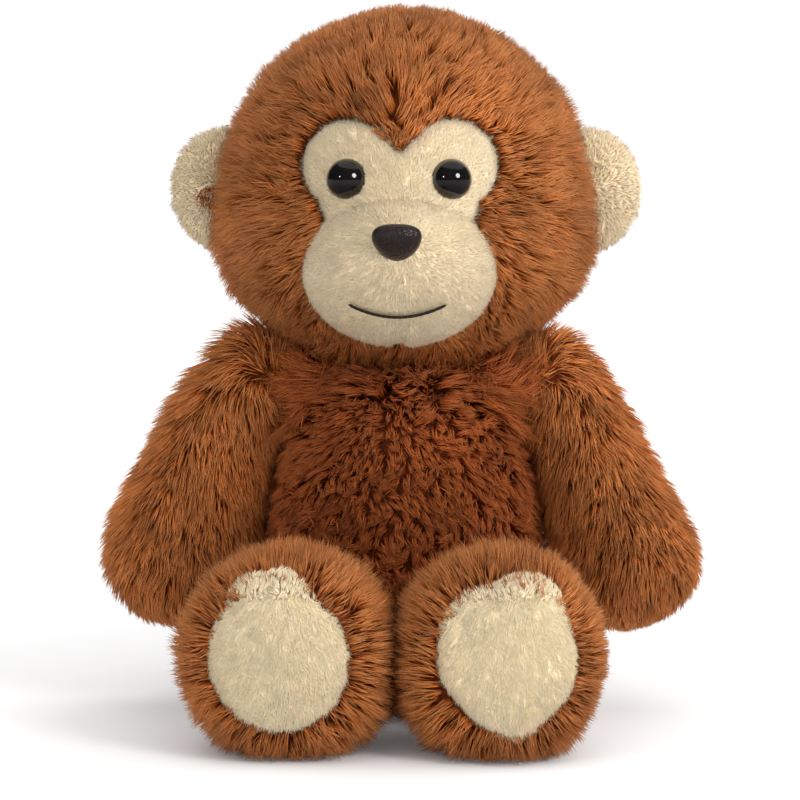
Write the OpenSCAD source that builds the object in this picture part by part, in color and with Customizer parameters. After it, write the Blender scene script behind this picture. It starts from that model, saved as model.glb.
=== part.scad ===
// A seated plush monkey, built from sewn shells, fillings and hard trim.
// The origin is on the floor under the neck, +Z is up and the face looks along -Y.
// "left" is the side at -X, which is on the left of someone facing the toy.

/* [Torso] */
// Half width of the torso at its widest
torso_r = 54; // [50:1:56]
// Height of the widest place above the floor
torso_widest = 58; // [54:1:62]
// Height of the torso above its widest place
torso_up = 84; // [80:1:86]

/* [Head] */
// Half width of the head at the cheeks
head_w = 72; // [68:1:72]
// Height of the cheeks above the floor
head_widest = 195; // [193:1:200]
// Height of the crown above the cheeks
head_up = 90; // [80:1:95]
// Depth of the chin below the cheeks
head_down = 48; // [44:1:48]

/* [Face] */
// Distance of each eye from the middle
eye_x = 20; // [18:0.5:22]
// Height of the eyes above the floor
eye_z = 220; // [216:1:224]
// Radius of an eye
eye_r = 7.5; // [6:0.5:8]
// Radius of each of the two lobes of the muzzle
muzzle_r = 29.2; // [28:0.2:30]
// Height of the nose above the floor
nose_z = 196; // [194:1:198]

/* [Limbs] */
// Radius of the paw
paw_r = 26; // [22:1:27]
// Radius of the foot
foot_r = 38; // [34:1:38]
// Radius of the ear
ear_r = 23.5; // [20:0.5:25]
// Radius of the tail
tail_r = 9; // [7:0.5:9]

/* [Fabric] */
// Thickness of the plush with its pile pressed flat
skin_t = 3; // [2.5:0.5:3.5]
// Thickness of the short plush of the face
face_t = 1.5; // [1:0.5:2]

/* [Hidden] */
$fn = 64;
SIDES = [-1, 1];
STEPS = 12;
GAP = 0.2;              // air between a shell and what fills it
JOINT_GAP = 0.5;        // air between two bodies that turn on each other
FAR = 400;              // longer than the whole toy

TORSO_DOWN = 70;        // the lower curve, before the seat cuts it flat
NECK = [0, 0, 146];     // middle of the neck ball, where the head turns and nods
NECK_R = 20;
YOKE = [36, -4, 132];   // middle of a shoulder's round end on the torso
YOKE_R = 14;
POUCH = [0, 0, 23];     // middle of the bag of pellets in the seat

SHOULDER = [60, -4, 141];
SHOULDER_R = 10;
PAW = [92, -4, 60];
PAW_BEANS_R = 15;

HIP = [36, -52, 33];
HIP_R = 9;
FOOT = [41, -104, foot_r];
SOLE = 24;              // distance of the sole from the middle of the foot
PAD_R = 27.5;
PAD_H = 4.5;
FOOT_BEANS_R = 19;

EAR = [74.5, 0, 213];   // middle of the seam that joins an ear to the head
EAR_RIM = 1.5;
EAR_CROWN = 3;

LOBE = [9, -60, 184];   // middle of a lobe of the muzzle
MUZZLE_T = 2.5;
POST_R = 2;
POST_BORE_R = 2.1;
POST_L = 9;
WASHER_R = 7;
WASHER_T = 1.4;
EYE_SINK = 2;           // how far the middle of an eye lies under the plush
BROW_R = 20.5;          // radius of each upper lobe of the brow mask
BROW_Z = 225;
BROW_NOTCH = 12;        // height of the notch above the middle of the lobes

MOUTH_W = 36;
MOUTH_DROP = 5;
MOUTH = [0, -84.8, 168.5];
THREAD_R = 0.9;

TAIL = [0, 56, 9];      // middle of the tail's root
TAIL_LONG = 115;        // length of the tail along its middle
TAIL_WIDE = 45;         // radius of its bend at the root
TAIL_TIGHT = 26;        // radius of its bend at the tip
TAIL_RINGS = 36;
TAIL_SIDES = 20;

BROWN = [0.60, 0.34, 0.16];
DARK_BROWN = [0.42, 0.21, 0.10];
BEIGE = [0.88, 0.79, 0.63];
FIBRE = [0.95, 0.95, 0.93];
PELLETS = [0.80, 0.82, 0.84];
BLACK = [0.04, 0.035, 0.035];
NOSE_BROWN = [0.20, 0.13, 0.12];

// ---- Forms that several pieces share ----

// One quarter of a rounded outline, from angle t0 to t1, where power 2 is an ellipse.
function quarter(a, b, power, t0, t1) = [
  for (i = [0:STEPS])
    let (t = t0 + (t1 - t0) * i / STEPS)
    [a * pow(cos(t), 2 / power), sign(t) * b * pow(abs(sin(t)), 2 / power)]
];

// Half width of such an outline at height z above its widest place.
function quarter_width(a, b, power, z) = a * pow(1 - pow(abs(z) / b, power), 1 / power);

// Outline of two balls and the cone that touches both, up to angle t1 of the second ball.
function taper(r1, r2, d, t1) =
  let (lean = asin((r1 - r2) / d))
  concat(
    [for (i = [0:STEPS]) let (t = -90 + (90 + lean) * i / STEPS) [r1 * cos(t), r1 * sin(t)]],
    [for (i = [0:STEPS]) let (t = lean + (t1 - lean) * i / STEPS) [r2 * cos(t), d + r2 * sin(t)]]
  );

function side(p, s) = [s * p[0], p[1], p[2]];

// Moves the children from the Z axis to the line from one point to another.
module along(from, to) {
  v = to - from;
  translate(from) rotate([0, acos(v[2] / norm(v)), atan2(v[1], v[0])]) children();
}

// A round cap of radius r and height h that stands on z = 0.
module cap(r, h) {
  ball = (r * r + h * h) / (2 * h);
  intersection() {
    translate([0, 0, h - ball]) sphere(ball, $fn = 128);
    cylinder(r = r, h = h);
  }
}

module torso_form(grow) {
  cut = torso_widest + grow;
  down = TORSO_DOWN + grow;
  lowest = -asin(pow(cut / down, 1.2));
  translate([0, 0, torso_widest]) rotate_extrude()
    polygon(concat(
      [[0, -cut]],
      quarter(torso_r + grow, down, 2.4, lowest, 0),
      quarter(torso_r + grow, torso_up + grow, 2.6, 0, 90)
    ));
  for (s = SIDES) translate(side(YOKE, s)) sphere(YOKE_R + grow);
}

module head_form(grow) {
  translate([0, 0, head_widest]) rotate_extrude()
    polygon(concat(
      quarter(head_w + grow, head_down + grow, 2.2, -90, 0),
      quarter(head_w + grow, head_up + grow, 2.1, 0, 90)
    ));
}

module muzzle_form(grow) {
  for (s = SIDES) translate(side(LOBE, s)) sphere(muzzle_r + grow);
}

module neck_space() {
  translate(NECK) sphere(NECK_R + JOINT_GAP);
}

// The surface of the head at an eye, with +Z pointing out of it.
module at_eye(s) {
  width = quarter_width(head_w, head_up, 2.1, eye_z - head_widest);
  turn = asin(eye_x / width);
  translate([s * eye_x, -width * cos(turn), eye_z])
    rotate([0, 0, s * turn]) rotate([80, 0, 0]) children();
}

// The surface of the muzzle at the nose, with +Z pointing out of it.
module at_nose() {
  rise = nose_z - LOBE[2];
  reach = sqrt(muzzle_r * muzzle_r - LOBE[0] * LOBE[0] - rise * rise);
  translate([0, LOBE[1] - reach, nose_z]) rotate([90 - atan(rise / reach), 0, 0]) children();
}

module post_hole() {
  translate([0, 0, -POST_L - 1]) cylinder(r = POST_BORE_R, h = POST_L + 5);
}

module washer_space() {
  translate([0, 0, -POST_L - 1]) cylinder(r = WASHER_R + 1, h = POST_L + 1);
}

module washer(wall) {
  translate([0, 0, -wall - WASHER_T]) difference() {
    cylinder(r = WASHER_R, h = WASHER_T);
    translate([0, 0, -1]) cylinder(r = POST_BORE_R, h = WASHER_T + 2);
  }
}

// ---- Torso ----

module torso_shell() color(DARK_BROWN) difference() {
  torso_form(0);
  torso_form(-skin_t);
  neck_space();
}

module seat_pouch_form(grow) {
  translate(POUCH) rotate_extrude()
    polygon(concat(
      quarter(30 + grow, 15 + grow, 2.4, -90, 0),
      quarter(30 + grow, 15 + grow, 2.4, 0, 90)
    ));
}

module torso_stuffing() color(FIBRE) difference() {
  torso_form(-skin_t - GAP);
  neck_space();
  seat_pouch_form(GAP);
}

module seat_pellets() color(PELLETS) seat_pouch_form(0);

// ---- Neck ----

module neck_tube() color(DARK_BROWN) translate(NECK) difference() {
  sphere(NECK_R);
  sphere(NECK_R - 2);
}

module neck_stuffing() color(FIBRE) translate(NECK) sphere(NECK_R - 2 - GAP);

// ---- Head ----

module head_shell() color(BROWN) difference() {
  head_form(0);
  head_form(-skin_t);
  neck_space();
  for (s = SIDES) at_eye(s) post_hole();
}

module head_stuffing() color(FIBRE) difference() {
  head_form(-skin_t - GAP);
  neck_space();
  for (s = SIDES) at_eye(s) washer_space();
}

function arc(middle, r, t0, t1) = [
  for (i = [0:2 * STEPS])
    let (t = t0 + (t1 - t0) * i / (2 * STEPS))
    middle + r * [cos(t), sin(t)]
];

// Two round lobes with a shallow notch between them, narrowing down behind the muzzle.
module brow_outline() {
  inner = 180 - asin(BROW_NOTCH / BROW_R);
  outer = -42;
  polygon(concat(
    arc([eye_x, BROW_Z], BROW_R, outer, inner),
    arc([-eye_x, BROW_Z], BROW_R, 180 - inner, 180 - outer),
    [[-eye_x - 5, LOBE[2]], [eye_x + 5, LOBE[2]]]
  ));
}

module brow_mask() color(BEIGE) difference() {
  intersection() {
    head_form(face_t);
    rotate([90, 0, 0]) linear_extrude(FAR) brow_outline();
  }
  head_form(0);
  muzzle_form(0);
  for (s = SIDES) at_eye(s) post_hole();
}

module muzzle_shell() color(BEIGE) difference() {
  muzzle_form(0);
  muzzle_form(-MUZZLE_T);
  head_form(0);
  at_nose() post_hole();
}

module muzzle_stuffing() color(FIBRE) difference() {
  muzzle_form(-MUZZLE_T - GAP);
  head_form(GAP);
  at_nose() washer_space();
}

module nose() color(NOSE_BROWN) {
  difference() {
    at_nose() hull() {
      for (s = SIDES) translate([s * 5.5, 2.8, 1]) sphere(4.2, $fn = 28);
      translate([0, -4.5, 1]) sphere(3.4, $fn = 28);
    }
    muzzle_form(0);
  }
  at_nose() translate([0, 0, -POST_L + 1]) cylinder(r = POST_R, h = POST_L + 2);
}

module nose_washer() color(PELLETS) at_nose() washer(MUZZLE_T + 1);

module mouth_stitch() color(BLACK) {
  bend = (MOUTH_W * MOUTH_W / 4 + MOUTH_DROP * MOUTH_DROP) / (2 * MOUTH_DROP);
  half = asin(MOUTH_W / 2 / bend);
  translate(MOUTH + [0, 0, bend]) rotate([90, 0, 0]) rotate([0, 0, -90 - half])
    rotate_extrude(angle = 2 * half) translate([bend, 0]) circle(THREAD_R, $fn = 24);
}

module eye(s) color(BLACK) {
  difference() {
    at_eye(s) translate([0, 0, -EYE_SINK + face_t]) sphere(eye_r);
    head_form(face_t);
  }
  at_eye(s) translate([0, 0, -POST_L + 1]) cylinder(r = POST_R, h = POST_L + 2);
}

module eye_washer(s) color(PELLETS) at_eye(s) washer(skin_t + 0.8);

// ---- Ears ----

// Half of an ear: way is -1 for the front and 1 for the back.
module ear_half(s, way) {
  translate(side(EAR, s)) intersection() {
    rotate([-90 * way, 0, 0]) {
      cylinder(r = ear_r, h = EAR_RIM);
      translate([0, 0, EAR_RIM]) cap(ear_r, EAR_CROWN);
    }
    translate([s > 0 ? 0 : -FAR, -FAR / 2, -FAR / 2]) cube(FAR);
  }
}

module ear_front(s) color(BEIGE) ear_half(s, -1);

module ear_back(s) color(BROWN) ear_half(s, 1);

// ---- Arms ----

module arm_form(s, grow) {
  along(side(SHOULDER, s), side(PAW, s)) rotate_extrude()
    polygon(taper(SHOULDER_R + grow, paw_r + grow, norm(PAW - SHOULDER), 90));
}

module arm_shell(s) color(BROWN) difference() {
  arm_form(s, 0);
  arm_form(s, -skin_t);
}

module arm_stuffing(s) color(FIBRE) difference() {
  arm_form(s, -skin_t - GAP);
  translate(side(PAW, s)) sphere(PAW_BEANS_R + GAP);
}

module paw_pellets(s) color(PELLETS) translate(side(PAW, s)) sphere(PAW_BEANS_R);

// ---- Legs ----

module leg_form(s, grow) {
  r = foot_r + grow;
  reach = SOLE + grow;
  length = norm(FOOT - HIP);
  along(side(HIP, s), side(FOOT, s)) rotate_extrude()
    polygon(concat(
      taper(HIP_R + grow, r, length, asin(reach / r)),
      [[0, length + reach]]
    ));
}

module leg_shell(s) color(BROWN) difference() {
  leg_form(s, 0);
  leg_form(s, -skin_t);
}

module leg_stuffing(s) color(FIBRE) difference() {
  leg_form(s, -skin_t - GAP);
  translate(side(FOOT, s)) sphere(FOOT_BEANS_R + GAP);
}

module foot_pellets(s) color(PELLETS) translate(side(FOOT, s)) sphere(FOOT_BEANS_R);

module foot_pad(s) color(BEIGE)
  along(side(HIP, s), side(FOOT, s))
    translate([0, 0, norm(FOOT - HIP) + SOLE]) cap(PAD_R, PAD_H);

// ---- Tail ----

// Heading of the tail at a share t of its length: it starts backwards and curls towards +X.
function tail_heading(t) =
  let (first = 1 / TAIL_WIDE, last = 1 / TAIL_TIGHT)
  90 - (180 / PI) * TAIL_LONG * (first * t + (last - first) * t * t / 2);

// Middle of the tail after n rings, each a straight step from the one before.
function tail_middle(n) = n == 0 ? TAIL :
  let (heading = tail_heading((n - 0.5) / TAIL_RINGS))
  tail_middle(n - 1) + TAIL_LONG / TAIL_RINGS * [cos(heading), sin(heading), 0];

// The tail is a tube along its middle, closed by a round cap of four rings at each end.
module tail_form(grow) {
  r = tail_r + grow;
  caps = [80, 60, 40, 20];
  rings = concat(
    [for (a = caps) [0, -sin(a) * r, cos(a) * r]],
    [for (n = [0:TAIL_RINGS]) [n, 0, r]],
    [for (i = [3:-1:0]) [TAIL_RINGS, sin(caps[i]) * r, cos(caps[i]) * r]]
  );
  points = [
    for (ring = rings)
      let (
        heading = tail_heading(ring[0] / TAIL_RINGS),
        ahead = [cos(heading), sin(heading), 0],
        aside = [-sin(heading), cos(heading), 0],
        middle = tail_middle(ring[0]) + ahead * ring[1]
      )
      for (k = [0:TAIL_SIDES - 1])
        let (turn = 360 * k / TAIL_SIDES)
        middle + ring[2] * (cos(turn) * aside + [0, 0, sin(turn)])
  ];
  count = len(rings);
  polyhedron(points, concat(
    [[for (k = [0:TAIL_SIDES - 1]) k]],
    [for (n = [0:count - 2]) for (k = [0:TAIL_SIDES - 1])
      let (j = (k + 1) % TAIL_SIDES, a = n * TAIL_SIDES, b = a + TAIL_SIDES)
      [a + j, a + k, b + k, b + j]],
    [[for (k = [TAIL_SIDES - 1:-1:0]) (count - 1) * TAIL_SIDES + k]]
  ));
}

module tail_shell() color(BROWN) difference() {
  tail_form(0);
  tail_form(-skin_t);
}

module tail_stuffing() color(FIBRE) tail_form(-skin_t - GAP);

// ---- Nodes ----

torso_shell();
torso_stuffing();
seat_pellets();
neck_tube();
neck_stuffing();
head_shell();
head_stuffing();
brow_mask();
muzzle_shell();
muzzle_stuffing();
nose();
nose_washer();
mouth_stitch();
eye(-1);  // eye_left
eye(1);  // eye_right
eye_washer(-1);  // eye_washer_left
eye_washer(1);  // eye_washer_right
ear_front(-1);  // ear_front_left
ear_front(1);  // ear_front_right
ear_back(-1);  // ear_back_left
ear_back(1);  // ear_back_right
arm_shell(-1);  // arm_shell_left
arm_shell(1);  // arm_shell_right
arm_stuffing(-1);  // arm_stuffing_left
arm_stuffing(1);  // arm_stuffing_right
paw_pellets(-1);  // paw_pellets_left
paw_pellets(1);  // paw_pellets_right
leg_shell(-1);  // leg_shell_left
leg_shell(1);  // leg_shell_right
leg_stuffing(-1);  // leg_stuffing_left
leg_stuffing(1);  // leg_stuffing_right
foot_pellets(-1);  // foot_pellets_left
foot_pellets(1);  // foot_pellets_right
foot_pad(-1);  // foot_pad_left
foot_pad(1);  // foot_pad_right
tail_shell();
tail_stuffing();
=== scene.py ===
import math
from contextlib import contextmanager

import bmesh
import bpy
import numpy as np
from bpy.props import FloatProperty, FloatVectorProperty, IntProperty, PointerProperty
from bpy.types import Operator, Panel, PropertyGroup
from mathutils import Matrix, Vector
from mathutils.bvhtree import BVHTree
from mathutils.kdtree import KDTree


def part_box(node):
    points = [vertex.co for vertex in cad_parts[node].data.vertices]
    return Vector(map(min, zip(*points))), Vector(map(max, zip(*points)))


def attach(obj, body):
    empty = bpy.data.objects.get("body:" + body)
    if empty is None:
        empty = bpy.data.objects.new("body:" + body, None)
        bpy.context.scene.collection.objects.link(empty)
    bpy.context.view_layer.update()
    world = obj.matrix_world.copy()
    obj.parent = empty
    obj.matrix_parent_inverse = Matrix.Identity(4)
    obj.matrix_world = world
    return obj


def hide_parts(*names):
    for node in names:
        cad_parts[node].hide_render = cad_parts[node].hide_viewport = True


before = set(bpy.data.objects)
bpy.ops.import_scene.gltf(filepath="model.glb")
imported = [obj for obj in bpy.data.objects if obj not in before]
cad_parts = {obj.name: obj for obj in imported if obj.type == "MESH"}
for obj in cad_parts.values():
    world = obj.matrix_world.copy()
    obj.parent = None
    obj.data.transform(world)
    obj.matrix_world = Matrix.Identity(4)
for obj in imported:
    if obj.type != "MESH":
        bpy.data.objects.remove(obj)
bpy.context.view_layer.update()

bl_info = {
    "name": "Plush monkey",
    "version": (1, 0, 0),
    "blender": (4, 5, 0),
    "location": "3D View > Sidebar > Monkey",
    "description": "Builds a seated plush monkey with a combed pile around its packed frame",
    "category": "Object",
}

MM = 0.001
SIDES = {"left": -1, "right": 1}
FLOOR_CLEARANCE = 0.4 * MM
UP = np.array([0.0, 0.0, 1.0])
LYING = (math.pi / 2, 0, 0)
# The arm coat is the brown coat made lighter: painted light.
ARM_PAINTED_LIGHT = 1.16
# The sole nap is the beige nap made lighter: painted light.
SOLE_PAINTED_LIGHT = 1.12


def node_box(name):
    """Lowest corner, highest corner and middle of a CAD node, as arrays."""
    low, high = (np.array(corner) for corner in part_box(name))
    return low, high, (low + high) / 2


# ---- Settings -------------------------------------------------------------------------------


def length(name, description, default):
    return FloatProperty(name=name, description=description, default=default, unit="LENGTH")


def colour(name, description, default):
    return FloatVectorProperty(
        name=name, description=description, default=default, subtype="COLOR", size=3, min=0, max=1
    )


class CoatSettings(PropertyGroup):
    head_pile: length("Head pile", "Length of the fur on the head", 14.5 * MM)
    torso_pile: length("Torso pile", "Length of the fur on the torso", 12 * MM)
    arm_pile: length("Arm pile", "Length of the fur on the arms", 14 * MM)
    foot_pile: length("Foot pile", "Length of the fur on the legs and round the soles", 13 * MM)
    tail_pile: length("Tail pile", "Length of the fur on the tail", 8 * MM)
    ear_pile: length("Ear pile", "Length of the fur on the backs of the ears", 5 * MM)
    strand: length("Strand width", "Width of one strand of fur where it is thickest", 0.56 * MM)
    per_cm2: IntProperty(
        name="Density", description="Strands of fur on a square centimetre", default=155
    )
    # Root darker than tip: painted shade deep in the pile, and the paler tip is painted highlight.
    root: colour("Root", "Colour of the fur at its root", (0.19, 0.036, 0.003))
    middle: colour("Middle", "Colour of the fur half way along", (0.33, 0.083, 0.011))
    tip: colour("Tip", "Colour of the fur at its tip", (0.69, 0.275, 0.09))
    # The torso's colours are darker than the head's: partly its own plush, and partly painted shade
    # under the head and between the arms.
    torso_root: colour("Torso root", "Colour of the torso's fur at its root", (0.12, 0.020, 0.002))
    torso_middle: colour("Torso middle", "Colour of the torso's fur", (0.28, 0.054, 0.008))
    torso_tip: colour("Torso tip", "Colour of the torso's fur at its tip", (0.54, 0.155, 0.04))


class FaceSettings(PropertyGroup):
    nap: length("Nap", "Length of the short plush", 3.4 * MM)
    nap_strand: length("Nap width", "Width of one strand of the short plush", 0.46 * MM)
    nap_per_cm2: IntProperty(
        name="Nap density", description="Strands of short plush on a square centimetre", default=380
    )
    # Root darker than tip: painted shade deep in the short plush, and the paler tip is painted
    # highlight.
    nap_root: colour("Nap root", "Colour of the short plush at its root", (0.84, 0.67, 0.43))
    nap_middle: colour("Nap middle", "Colour of the short plush half way", (0.91, 0.76, 0.52))
    nap_tip: colour("Nap tip", "Colour of the short plush at its tip", (0.96, 0.85, 0.63))
    eye: colour("Eyes", "Colour of the eyes", (0.003, 0.0025, 0.0025))
    nose: colour("Nose", "Colour of the nose", (0.016, 0.009, 0.008))
    thread: colour("Thread", "Colour of the smile's thread", (0.012, 0.008, 0.007))


class StageSettings(PropertyGroup):
    distance: length("Camera distance", "From the lens to the toy's middle", 1.545)
    elevation: FloatProperty(
        name="Camera elevation", description="How far the camera looks down",
        default=math.radians(6), subtype="ANGLE",
    )
    turn: FloatProperty(
        name="Camera turn", description="How far round the toy the camera stands",
        default=math.radians(2.2), subtype="ANGLE",
    )
    aside: length("Aim aside", "How far from the toy's middle the camera looks", -2.2 * MM)
    field: length("Field", "Width of what the camera sees at the toy", 0.3296)
    aim: length("Aim", "Height that the camera looks at", 126.4 * MM)
    floor: colour("Floor", "Colour of the floor", (0.93, 0.93, 0.93))


# ---- Meshes ---------------------------------------------------------------------------------


def deselect():
    if bpy.context.object and bpy.context.object.mode != "OBJECT":
        bpy.ops.object.mode_set(mode="OBJECT")
    bpy.ops.object.select_all(action="DESELECT")


def make_active(piece):
    deselect()
    piece.select_set(True)
    bpy.context.view_layer.objects.active = piece
    return piece


def finish_primitive(name):
    """Names the primitive just added and puts its place into its mesh."""
    piece = bpy.context.object
    piece.name = piece.data.name = name
    bpy.ops.object.transform_apply(location=True, rotation=True, scale=True)
    return piece


def in_order(piece):
    """Gives a piece's faces one fixed order, so that every run lays its fur the same way."""
    faces = []
    for face in piece.data.polygons:
        corners = list(face.vertices)
        first = corners.index(min(corners))
        faces.append(corners[first:] + corners[:first])
    places = vertices(piece).tolist()
    piece.data.clear_geometry()
    piece.data.from_pydata(places, [], sorted(faces))
    return piece


def add_ball(name, segments, rings, turn=(0, 0, 0), middle=(0, 0, 0), radius=1):
    deselect()
    bpy.ops.mesh.primitive_uv_sphere_add(
        segments=segments, ring_count=rings, radius=1, location=middle, rotation=turn,
        scale=(radius,) * 3,
    )
    return in_order(finish_primitive(name))


def add_object(name, data):
    """Puts a mesh, a lamp or a lens into the scene as an object of the same name."""
    made = bpy.data.objects.new(name, data)
    data.name = name
    bpy.context.scene.collection.objects.link(made)
    return made


def smooth(piece):
    make_active(piece)
    bpy.ops.object.shade_smooth()


@contextmanager
def opened(piece):
    """A piece's mesh, open for editing, and put back afterwards."""
    mesh = bmesh.new()
    mesh.from_mesh(piece.data)
    yield mesh
    mesh.to_mesh(piece.data)
    mesh.free()


def face_outwards(piece):
    """Turns the faces of a closed piece round if its shaping has mirrored it."""
    with opened(piece) as mesh:
        if mesh.calc_volume(signed=True) < 0:
            bmesh.ops.reverse_faces(mesh, faces=mesh.faces)


def apply_modifier(piece, kind, **values):
    make_active(piece)
    modifier = piece.modifiers.new(kind.title(), kind)
    for key, value in values.items():
        setattr(modifier, key, value)
    bpy.ops.object.modifier_apply(modifier=modifier.name)
    return piece


def vertices(piece, key="co"):
    """The places of a piece's vertices, or their normals."""
    values = np.empty(len(piece.data.vertices) * 3)
    piece.data.vertices.foreach_get(key, values)
    return values.reshape(-1, 3)


def move_vertices(piece, places):
    piece.data.vertices.foreach_set("co", np.ascontiguousarray(places).ravel())
    piece.data.update()


def surface_of(piece):
    """A tree of a piece's faces, to find the nearest or the first one hit."""
    faces = [tuple(face.vertices) for face in piece.data.polygons]
    return BVHTree.FromPolygons([v.co for v in piece.data.vertices], faces)


def on_front(tree, x, z, lift):
    """The place where a line along +Y first meets a surface, lifted off it."""
    place, normal = tree.ray_cast(Vector((x, -1, z)), Vector((0, 1, 0)))[:2]
    if place is None:
        raise ValueError(f"nothing lies behind x {x:.4f}, z {z:.4f}")
    return np.array(place) + np.array(normal) * (-lift if normal.y > 0 else lift)


def grow(piece, distance):
    """Moves a piece's surface outwards, by one distance or by one for each vertex."""
    distance = np.broadcast_to(distance, len(piece.data.vertices))
    move_vertices(piece, vertices(piece) + vertices(piece, "normal") * distance[:, None])


def keep_outer_wall(piece):
    """Deletes every loose part but the widest, such as the wall of a hollow inside."""
    def width(part):
        return max(v.co.x for v in part) - min(v.co.x for v in part)

    with opened(piece) as mesh:
        left, parts = set(mesh.verts), []
        while left:
            part, todo = set(), [left.pop()]
            while todo:
                vertex = todo.pop()
                part.add(vertex)
                near = {edge.other_vert(vertex) for edge in vertex.link_edges} & left
                left -= near
                todo.extend(near)
            parts.append(part)
        for part in sorted(parts, key=width)[:-1]:
            bmesh.ops.delete(mesh, geom=list(part), context="VERTS")


def stuff(piece, pressure, cap, frames=20):
    """Blows the fabric up with the cloth solver, and lets no point move further than cap."""
    before = vertices(piece)
    cloth = piece.modifiers.new("Cloth", "CLOTH")
    cloth.settings.use_pressure = True
    cloth.settings.uniform_pressure_force = pressure
    cloth.settings.effector_weights.gravity = 0
    cloth.settings.quality = 5
    scene = bpy.context.scene
    for step in range(1, frames + 1):
        scene.frame_set(step)
    shape = piece.evaluated_get(bpy.context.evaluated_depsgraph_get())
    moved = vertices(shape) - before
    piece.modifiers.remove(cloth)
    scene.frame_set(1)
    moved -= moved.mean(axis=0)
    far = np.linalg.norm(moved, axis=1, keepdims=True)
    move_vertices(piece, before + moved * np.minimum(1, cap / np.maximum(far, 1e-9)))


def skin_from(node, name, voxel=4.5 * MM, outwards=0.6 * MM, cap=1.5 * MM):
    """A sewn skin round a CAD filling: its outer wall, remeshed, stuffed and smoothed."""
    piece = add_object(name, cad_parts[node].data.copy())
    piece.data.materials.clear()
    make_active(piece)
    bpy.ops.object.mode_set(mode="EDIT")
    bpy.ops.mesh.select_all(action="SELECT")
    bpy.ops.mesh.remove_doubles(threshold=0.01 * MM)
    bpy.ops.object.mode_set(mode="OBJECT")
    keep_outer_wall(piece)
    apply_modifier(piece, "REMESH", mode="VOXEL", voxel_size=voxel)
    keep_outer_wall(piece)
    apply_modifier(piece, "SMOOTH", factor=0.5, iterations=4)
    grow(piece, outwards)
    stuff(piece, 4, cap)
    apply_modifier(piece, "SUBSURF", levels=1, render_levels=1)
    smooth(piece)
    return piece


# ---- Fur ------------------------------------------------------------------------------------


def unit(vectors):
    return vectors / np.maximum(np.linalg.norm(vectors, axis=-1, keepdims=True), 1e-9)


def flatten(vectors, normals):
    """The part of each vector that lies along the surface."""
    return vectors - normals * (vectors * normals).sum(axis=1, keepdims=True)


def smoothstep(low, high, value):
    t = np.clip((value - low) / (high - low), 0, 1)
    return t * t * (3 - 2 * t)


seeded = np.random.default_rng


def scatter(rng, piece, per_cm2, where=None):
    """Random places on a piece, with their normals. where gives the share that is kept."""
    mesh = piece.data
    mesh.calc_loop_triangles()
    corners = np.empty(len(mesh.loop_triangles) * 3, np.int32)
    mesh.loop_triangles.foreach_get("vertices", corners)
    corners = corners.reshape(-1, 3)
    places, normals = vertices(piece), vertices(piece, "normal")
    a, b, c = (places[corners[:, k]] for k in range(3))
    areas = np.linalg.norm(np.cross(b - a, c - a), axis=1) / 2
    count = int(areas.sum() * 1e4 * per_cm2)
    chosen = rng.choice(len(corners), count, p=areas / areas.sum())
    u, v = rng.random((2, count))
    over = u + v > 1
    u[over], v[over] = 1 - u[over], 1 - v[over]
    weights = np.stack([1 - u - v, u, v], axis=1)
    point = (places[corners[chosen]] * weights[:, :, None]).sum(axis=1)
    normal = unit((normals[corners[chosen]] * weights[:, :, None]).sum(axis=1))
    if where is not None:
        kept = rng.random(count) < where(point, normal)
        point, normal = point[kept], normal[kept]
    return point, normal


def nearest(places, seeds):
    """For each place, the number of the nearest seed."""
    tree = KDTree(len(seeds))
    for number, seed in enumerate(seeds):
        tree.insert(seed, number)
    tree.balance()
    return np.array([tree.find(place)[1] for place in places])


def bend(point, normal, comb, pile, low, high):
    """Middle and tip of strands that leave a surface steeply and then lean along the comb."""
    first = unit(normal * math.cos(low) + comb * math.sin(low))
    second = unit(normal * math.cos(high) + comb * math.sin(high))
    middle = point + first * pile * 0.42
    return middle, middle + second * pile * 0.58


def lay_pile(rng, point, normal, comb, pile, low, high, clump, ruffle, pull, fuzz):
    """Middles and tips of a combed pile whose strands gather in locks, and locks in tufts."""
    count = len(point)
    seeds = rng.choice(count, max(1, int(count / clump)), replace=False)
    owner = nearest(point, point[seeds])
    heads = rng.choice(len(seeds), max(1, len(seeds) // 6), replace=False)
    tuft = nearest(point[seeds], point[seeds][heads])
    stray = rng.normal(scale=ruffle, size=(len(heads), 3))[tuft]
    stray += rng.normal(scale=ruffle * 0.55, size=(len(seeds), 3))
    reach = rng.uniform(0.88, 1.08, (len(heads), 1))[tuft]
    reach = pile[seeds] * reach * rng.uniform(0.92, 1.08, (len(seeds), 1))
    seed_comb = unit(flatten(comb[seeds] + stray, normal[seeds]))
    seed_middle, seed_tip = bend(point[seeds], normal[seeds], seed_comb, reach, low, high)
    own = comb + stray[owner] * 0.9 + rng.normal(scale=fuzz, size=(count, 3))
    own_reach = reach[owner] * rng.uniform(0.72, 1.12, (count, 1))
    middle, tip = bend(point, normal, unit(flatten(own, normal)), own_reach, low, high)
    share = pull * rng.uniform(0.2, 1.2, (count, 1))
    middle += (seed_middle[owner] - middle) * share * 0.35
    tip += (seed_tip[owner] - tip) * share
    tip += rng.normal(scale=0.035, size=(count, 3)) * pile
    tone = rng.normal(scale=0.3, size=len(heads))[tuft][owner]
    tone += rng.normal(scale=0.3, size=len(seeds))[owner] + rng.normal(scale=0.8, size=count)
    return middle, tip, np.clip(0.5 + tone * 0.25, 0, 1)


def ring(middle, along, width):
    """Three points round the middle of each strand."""
    side = unit(np.cross(along, np.array([0.31, 0.52, 0.79])))
    other = np.cross(along, side)
    turns = [2 * math.pi * k / 3 for k in range(3)]
    return [middle + (side * math.cos(t) + other * math.sin(t)) * width / 2 for t in turns]


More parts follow.
